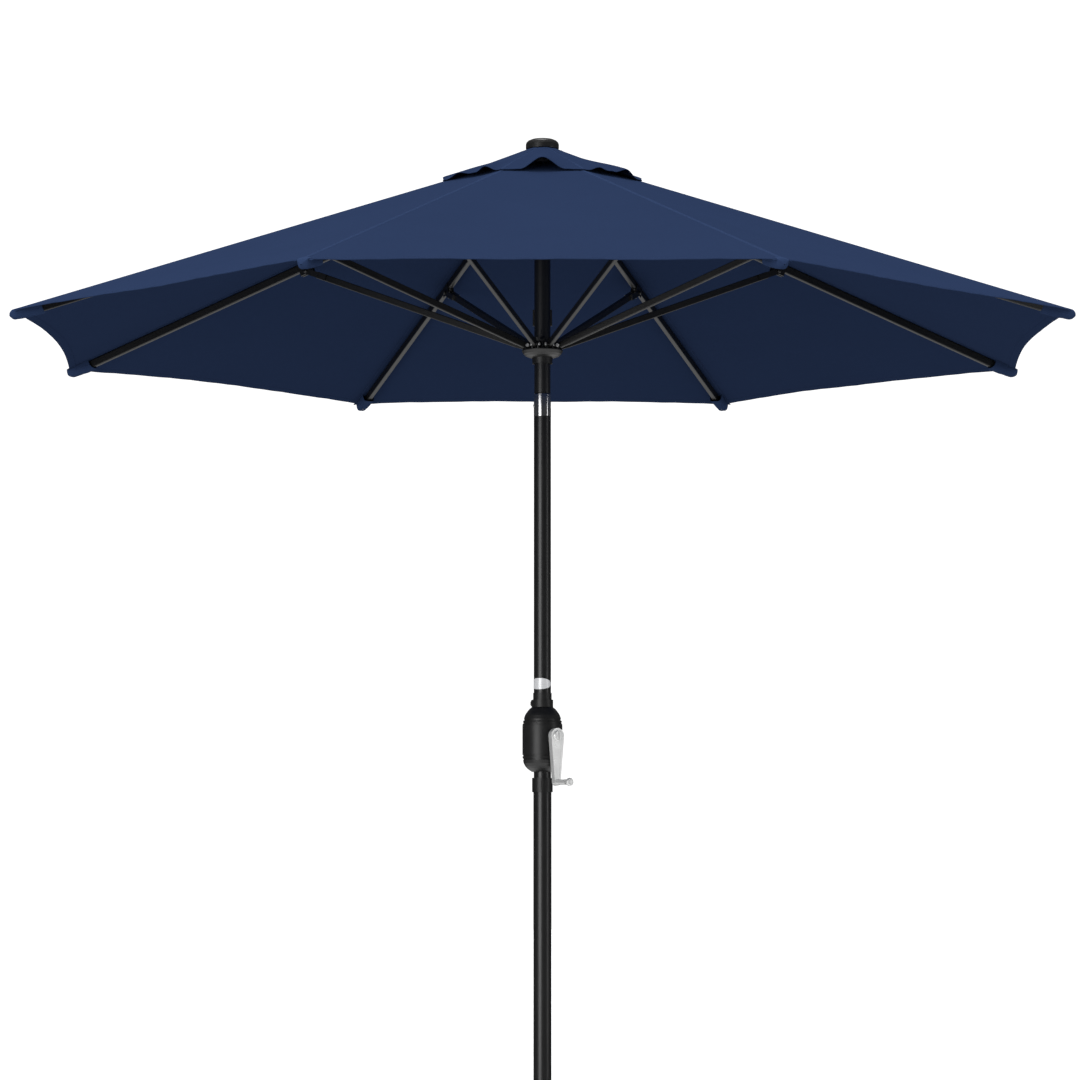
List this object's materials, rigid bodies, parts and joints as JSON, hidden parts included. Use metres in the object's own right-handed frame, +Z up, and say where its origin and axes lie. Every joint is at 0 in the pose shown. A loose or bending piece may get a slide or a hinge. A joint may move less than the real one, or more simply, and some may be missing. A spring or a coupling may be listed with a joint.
{
  "type": "patio umbrella with base",
  "caption": "Market umbrella with a vented octagonal cloth canopy on folding ribs, a crank lift, a tilting upper pole and a round weighted base.",
  "frame": {"origin": "on the floor, on the pole's axis", "axes": "+Z up along the pole; -Y is the front, the side seen in the picture; the crank faces the front right; +X is the right side"},
  "size_m": [2.3466, 2.3466, 2.5024],
  "materials": {
    "canopy_cloth": "woven, matt",
    "black_frame": "satin black",
    "black_pole": "satin black",
    "black_plastic": "satin",
    "chrome": "polished",
    "silver_metal": "satin",
    "cord": "braided",
    "badge": "brushed, blank",
    "rubber": "matt",
    "base_weight": "textured black coating over a cast filling",
    "inner_steel": "plain"
  },
  "bodies": {
    "base": {"base_weight": "base_weight", "foot_ring": "rubber", "base_tube": "black_pole", "base_bushing": "black_plastic"},
    "knob": {"clamp_knob": "black_plastic"},
    "lower_pole": {"lower_pole": "black_pole", "middle_pole": "black_pole", "coupling_collar": "black_plastic", "coupling_sleeve": "inner_steel", "housing_front": "black_plastic", "housing_back": "black_plastic", "housing_screws": "silver_metal", "housing_neck": "black_plastic", "neck_screw": "silver_metal", "label_plate": "badge", "tilt_collar": "chrome", "tilt_pin": "inner_steel", "tilt_spring": "inner_steel", "lift_cord_lower": "cord"},
    "crank": {"crank_arm": "silver_metal", "crank_shaft": "inner_steel", "crank_screw": "silver_metal", "spool": "black_plastic"},
    "grip": {"crank_grip": "silver_metal"},
    "button": {"tilt_button": "silver_metal"},
    "upper_pole": {"upper_pole": "black_pole", "crown_hub": "black_plastic", "crown_pins": "inner_steel", "finial_cap": "black_plastic", "stop_blocks": "black_plastic", "tilt_knuckle": "black_plastic", "lift_cord_upper": "cord"},
    "pulley": {"pulley": "black_plastic"},
    "cord_end": {"lift_cord_outer": "cord"},
    "runner": {"runner": "black_plastic", "runner_pins": "silver_metal"},
    "rib_1": {"rib_1": "black_frame", "canopy_1": "canopy_cloth"},
    "strut_1": {"strut_1": "black_frame"},
    "rib_2": {"rib_2": "black_frame", "canopy_2": "canopy_cloth"},
    "strut_2": {"strut_2": "black_frame"},
    "rib_3": {"rib_3": "black_frame", "canopy_3": "canopy_cloth"},
    "strut_3": {"strut_3": "black_frame"},
    "rib_4": {"rib_4": "black_frame", "canopy_4": "canopy_cloth"},
    "strut_4": {"strut_4": "black_frame"},
    "rib_5": {"rib_5": "black_frame", "canopy_5": "canopy_cloth"},
    "strut_5": {"strut_5": "black_frame"},
    "rib_6": {"rib_6": "black_frame", "canopy_6": "canopy_cloth"},
    "strut_6": {"strut_6": "black_frame"},
    "rib_7": {"rib_7": "black_frame", "canopy_7": "canopy_cloth"},
    "strut_7": {"strut_7": "black_frame"},
    "rib_8": {"rib_8": "black_frame", "canopy_8": "canopy_cloth"},
    "strut_8": {"strut_8": "black_frame"}
  },
  "joints": [
    {"name": "pole_swivel", "type": "hinge", "parent": "base", "child": "lower_pole", "pos_m": [0, 0, 0.02], "axis": [0, 0, 1], "continuous": true},
    {"name": "tilt", "type": "hinge", "parent": "lower_pole", "child": "upper_pole", "pos_m": [0, 0, 1.868], "axis": [1, 0, 0], "range_deg": [-35, 0], "deforming": ["lift_cord_lower"]},
    {"name": "canopy_fold", "type": "hinge", "parent": "upper_pole", "child": "rib_1", "pos_m": [0.01607, -0.0388, 2.44136], "axis": [0.9239, 0.3827, 0], "range_deg": [0, 62], "deforming": ["canopy_1", "canopy_2", "canopy_3", "canopy_4", "canopy_5", "canopy_6", "canopy_7", "canopy_8", "lift_cord_outer"]},
    {"name": "strut_1_fold", "type": "hinge", "parent": "rib_1", "child": "strut_1", "pos_m": [0.23513, -0.56766, 2.22486], "axis": [0.9239, 0.3827, 0], "range_deg": [-124, 0]},
    {"name": "runner_pivot", "type": "hinge", "parent": "strut_1", "child": "runner", "pos_m": [0.01607, -0.0388, 2.00836], "axis": [0.9239, 0.3827, 0], "range_deg": [0, 62]},
    {"name": "rib_2_fold", "type": "hinge", "parent": "upper_pole", "child": "rib_2", "pos_m": [0.0388, -0.01607, 2.44136], "axis": [0.3827, 0.9239, 0], "range_deg": [0, 62]},
    {"name": "strut_2_fold", "type": "hinge", "parent": "rib_2", "child": "strut_2", "pos_m": [0.56766, -0.23513, 2.22486], "axis": [0.3827, 0.9239, 0], "range_deg": [-124, 0]},
    {"name": "rib_3_fold", "type": "hinge", "parent": "upper_pole", "child": "rib_3", "pos_m": [0.0388, 0.01607, 2.44136], "axis": [-0.3827, 0.9239, 0], "range_deg": [0, 62]},
    {"name": "strut_3_fold", "type": "hinge", "parent": "rib_3", "child": "strut_3", "pos_m": [0.56766, 0.23513, 2.22486], "axis": [-0.3827, 0.9239, 0], "range_deg": [-124, 0]},
    {"name": "rib_4_fold", "type": "hinge", "parent": "upper_pole", "child": "rib_4", "pos_m": [0.01607, 0.0388, 2.44136], "axis": [-0.9239, 0.3827, 0], "range_deg": [0, 62]},
    {"name": "strut_4_fold", "type": "hinge", "parent": "rib_4", "child": "strut_4", "pos_m": [0.23513, 0.56766, 2.22486], "axis": [-0.9239, 0.3827, 0], "range_deg": [-124, 0]},
    {"name": "rib_5_fold", "type": "hinge", "parent": "upper_pole", "child": "rib_5", "pos_m": [-0.01607, 0.0388, 2.44136], "axis": [-0.9239, -0.3827, 0], "range_deg": [0, 62]},
    {"name": "strut_5_fold", "type": "hinge", "parent": "rib_5", "child": "strut_5", "pos_m": [-0.23513, 0.56766, 2.22486], "axis": [-0.9239, -0.3827, 0], "range_deg": [-124, 0]},
    {"name": "rib_6_fold", "type": "hinge", "parent": "upper_pole", "child": "rib_6", "pos_m": [-0.0388, 0.01607, 2.44136], "axis": [-0.3827, -0.9239, 0], "range_deg": [0, 62]},
    {"name": "strut_6_fold", "type": "hinge", "parent": "rib_6", "child": "strut_6", "pos_m": [-0.56766, 0.23513, 2.22486], "axis": [-0.3827, -0.9239, 0], "range_deg": [-124, 0]},
    {"name": "rib_7_fold", "type": "hinge", "parent": "upper_pole", "child": "rib_7", "pos_m": [-0.0388, -0.01607, 2.44136], "axis": [0.3827, -0.9239, 0], "range_deg": [0, 62]},
    {"name": "strut_7_fold", "type": "hinge", "parent": "rib_7", "child": "strut_7", "pos_m": [-0.56766, -0.23513, 2.22486], "axis": [0.3827, -0.9239, 0], "range_deg": [-124, 0]},
    {"name": "rib_8_fold", "type": "hinge", "parent": "upper_pole", "child": "rib_8", "pos_m": [-0.01607, -0.0388, 2.44136], "axis": [0.9239, -0.3827, 0], "range_deg": [0, 62]},
    {"name": "strut_8_fold", "type": "hinge", "parent": "rib_8", "child": "strut_8", "pos_m": [-0.23513, -0.56766, 2.22486], "axis": [0.9239, -0.3827, 0], "range_deg": [-124, 0]},
    {"name": "crank_turn", "type": "hinge", "parent": "lower_pole", "child": "crank", "pos_m": [0, 0, 1.095], "axis": [0.5736, -0.8192, 0], "range_deg": [0, 3720]},
    {"name": "pulley_turn", "type": "hinge", "parent": "upper_pole", "child": "pulley", "pos_m": [0.012, 0.007, 2.41936], "axis": [1, 0, 0], "range_deg": [0, 2887.34]},
    {"name": "cord_pay_out", "type": "slide", "parent": "upper_pole", "child": "cord_end", "axis": [0, 0, -1], "range_m": [0, 0.78113]},
    {"name": "grip_spin", "type": "hinge", "parent": "crank", "child": "grip", "pos_m": [0.04703, -0.06717, 0.988], "axis": [0.5736, -0.8192, 0], "continuous": true},
    {"name": "tilt_button", "type": "slide", "parent": "lower_pole", "child": "button", "axis": [1, 0, 0], "range_m": [0, 0.0025], "stiffness_N_per_m": 600, "springref_m": -0.001, "deforming": ["tilt_spring"]},
    {"name": "clamp_turn", "type": "hinge", "parent": "base", "child": "knob", "pos_m": [0, -0.06, 0.205], "axis": [0, 1, 0], "continuous": true}
  ],
  "couplings": [
    {"joint": "strut_1_fold", "follows": "canopy_fold", "ratio": -2},
    {"joint": "runner_pivot", "follows": "canopy_fold", "ratio": 1},
    {"joint": "rib_2_fold", "follows": "canopy_fold", "ratio": 1},
    {"joint": "strut_2_fold", "follows": "canopy_fold", "ratio": -2},
    {"joint": "rib_3_fold", "follows": "canopy_fold", "ratio": 1},
    {"joint": "strut_3_fold", "follows": "canopy_fold", "ratio": -2},
    {"joint": "rib_4_fold", "follows": "canopy_fold", "ratio": 1},
    {"joint": "strut_4_fold", "follows": "canopy_fold", "ratio": -2},
    {"joint": "rib_5_fold", "follows": "canopy_fold", "ratio": 1},
    {"joint": "strut_5_fold", "follows": "canopy_fold", "ratio": -2},
    {"joint": "rib_6_fold", "follows": "canopy_fold", "ratio": 1},
    {"joint": "strut_6_fold", "follows": "canopy_fold", "ratio": -2},
    {"joint": "rib_7_fold", "follows": "canopy_fold", "ratio": 1},
    {"joint": "strut_7_fold", "follows": "canopy_fold", "ratio": -2},
    {"joint": "rib_8_fold", "follows": "canopy_fold", "ratio": 1},
    {"joint": "strut_8_fold", "follows": "canopy_fold", "ratio": -2},
    {"joint": "crank_turn", "follows": "canopy_fold", "ratio": 60},
    {"joint": "pulley_turn", "follows": "canopy_fold", "ratio": 46.57},
    {"joint": "cord_pay_out", "follows": "canopy_fold", "m_per_rad": 0.72185}
  ]
}
